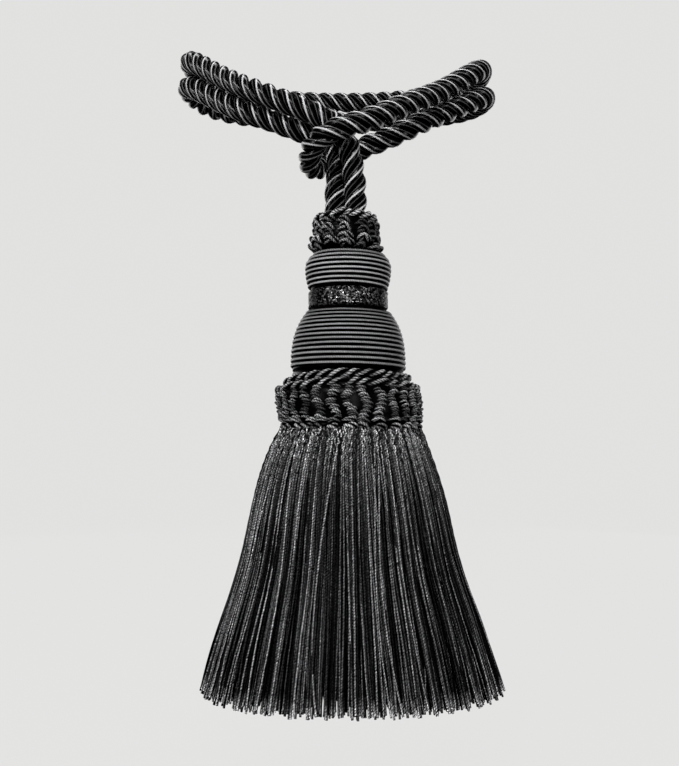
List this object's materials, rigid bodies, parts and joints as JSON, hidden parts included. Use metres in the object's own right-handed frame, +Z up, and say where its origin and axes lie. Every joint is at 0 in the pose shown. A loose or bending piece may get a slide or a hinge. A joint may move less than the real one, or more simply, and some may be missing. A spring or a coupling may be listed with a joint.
{
  "type": "curtain tieback tassel",
  "caption": "Curtain tieback: a doubled loop of twisted rope cinched round its own stem, with a large tassel of wound, crocheted and fringed yarn hanging at the front.",
  "frame": {"origin": "inner back of the rope loop, midway between its two runs, where a hook on the wall holds it", "axes": "+Z up, the tassel hangs towards -Z; -Y from the wall towards the viewer, with the tassel at the front; +X to the viewer's right"},
  "size_m": [0.1652, 0.146, 0.3172],
  "materials": {
    "rope_yarn": "glossy black rayon rope of three strands, each of fine parallel yarns",
    "crochet_gimp": "soft-gloss black twisted gimp cord, crocheted",
    "wound_cord": "soft-gloss black cord wound side by side",
    "satin_ribbon": "glossy black satin ribbon with a fine glitter weave",
    "fringe_thread": "glossy black twisted rayon threads"
  },
  "bodies": {
    "root": {"rope": "rope_yarn", "top_ruff": "crochet_gimp", "upper_bulb": "wound_cord", "neck_band": "satin_ribbon", "lower_bulb": "wound_cord", "collar": "crochet_gimp", "skirt": "fringe_thread"}
  },
  "joints": []
}
